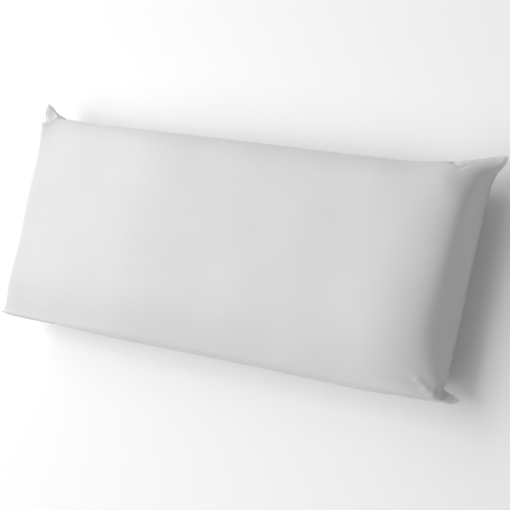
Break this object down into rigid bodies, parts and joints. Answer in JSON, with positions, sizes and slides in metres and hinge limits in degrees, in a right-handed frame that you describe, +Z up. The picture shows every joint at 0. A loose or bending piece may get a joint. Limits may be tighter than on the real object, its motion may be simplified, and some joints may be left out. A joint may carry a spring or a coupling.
{
  "type": "memory foam pillow",
  "caption": "Long rectangular foam-filled pillow in a plain white sewn cover, crowned on top, with drawn-in edges, a seam all round and small pointed corner ears.",
  "frame": {"origin": "middle of the pillow's box, at its flat underside", "axes": "+X along the pillow, +Y across it towards its upper long side, +Z up out of its crowned face"},
  "size_m": [0.907, 0.4186, 0.142],
  "materials": {
    "cover": "smooth, faintly satiny woven white cotton blend"
  },
  "bodies": {
    "root": {"pillow": "cover"}
  },
  "joints": []
}
